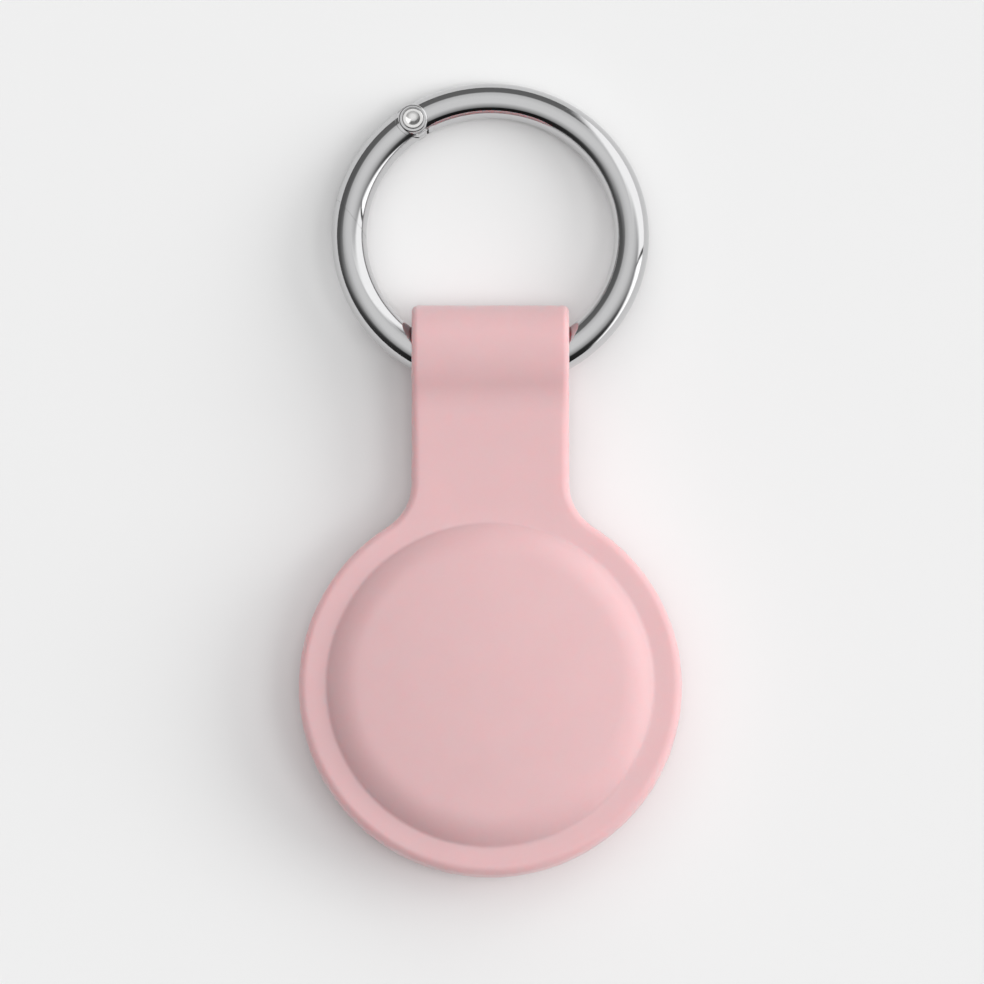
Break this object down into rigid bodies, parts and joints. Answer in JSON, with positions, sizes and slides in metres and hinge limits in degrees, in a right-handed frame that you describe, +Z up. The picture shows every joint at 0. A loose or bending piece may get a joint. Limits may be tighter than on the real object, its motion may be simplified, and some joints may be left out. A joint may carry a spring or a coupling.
{
  "type": "tracker tag holder",
  "caption": "Soft silicone key holder with a domed round pocket for a coin-sized tracker tag, a short strap with a loop, and a chromed spring-gate ring.",
  "frame": {"origin": "on the surface it lies on, under the middle of the whole object", "axes": "+Y from the pocket to the ring, +Z up out of the domed front, +X to the right seen from the front"},
  "size_m": [0.0404, 0.0858, 0.0106],
  "materials": {
    "silicone": "soft matte pink silicone",
    "chrome": "polished plating on a zinc casting",
    "rivet_steel": "polished",
    "spring_steel": "drawn wire",
    "white_plastic": "glossy white",
    "cover_steel": "polished stainless steel",
    "seal_rubber": "black, soft",
    "cell_steel": "plated steel",
    "gasket_plastic": "moulded",
    "contact_metal": "gilt",
    "board": "green solder mask",
    "chip_plastic": "moulded black",
    "shield_steel": "tinned",
    "antenna_copper": "copper foil",
    "magnet": "nickel plated",
    "coil_copper": "enamelled copper wire"
  },
  "bodies": {
    "holder": {"silicone_sleeve": "silicone"},
    "ring": {"ring_body": "chrome", "hinge_rivet": "rivet_steel", "gate_spring": "spring_steel"},
    "gate": {"gate_arm": "chrome"},
    "tag": {"tag_front_shell": "white_plastic", "tag_rear_frame": "white_plastic", "cover_seal": "seal_rubber", "cell_can": "cell_steel", "cell_cap": "cell_steel", "cell_gasket": "gasket_plastic", "positive_contacts": "contact_metal", "negative_contact": "contact_metal", "circuit_board": "board", "board_chips": "chip_plastic", "radio_shield": "shield_steel", "antenna_ring": "antenna_copper", "sounder_magnet": "magnet", "sounder_coil": "coil_copper"},
    "tag_cover": {"tag_rear_cover": "cover_steel"}
  },
  "joints": [
    {"name": "ring_swing", "type": "hinge", "parent": "holder", "child": "ring", "pos_m": [0, 0.01276, 0.00492], "axis": [1, 0, 0], "range_deg": [0, 166]},
    {"name": "gate_swing", "type": "hinge", "parent": "ring", "child": "gate", "pos_m": [-0.00823, 0.03862, 0.00212], "axis": [0, 0.1075, 0.9942], "range_deg": [0, 35], "stiffness_Nm_per_rad": 0.012, "springref_deg": -34.38, "deforming": ["gate_spring"]},
    {"name": "tag_spin", "type": "hinge", "parent": "holder", "child": "tag", "pos_m": [0, -0.02268, 0.00135], "axis": [0, 0, 1], "continuous": true},
    {"name": "cover_twist", "type": "hinge", "parent": "tag", "child": "tag_cover", "pos_m": [0, -0.02268, 0.00135], "axis": [0, 0, 1], "range_deg": [-20, 0]}
  ]
}
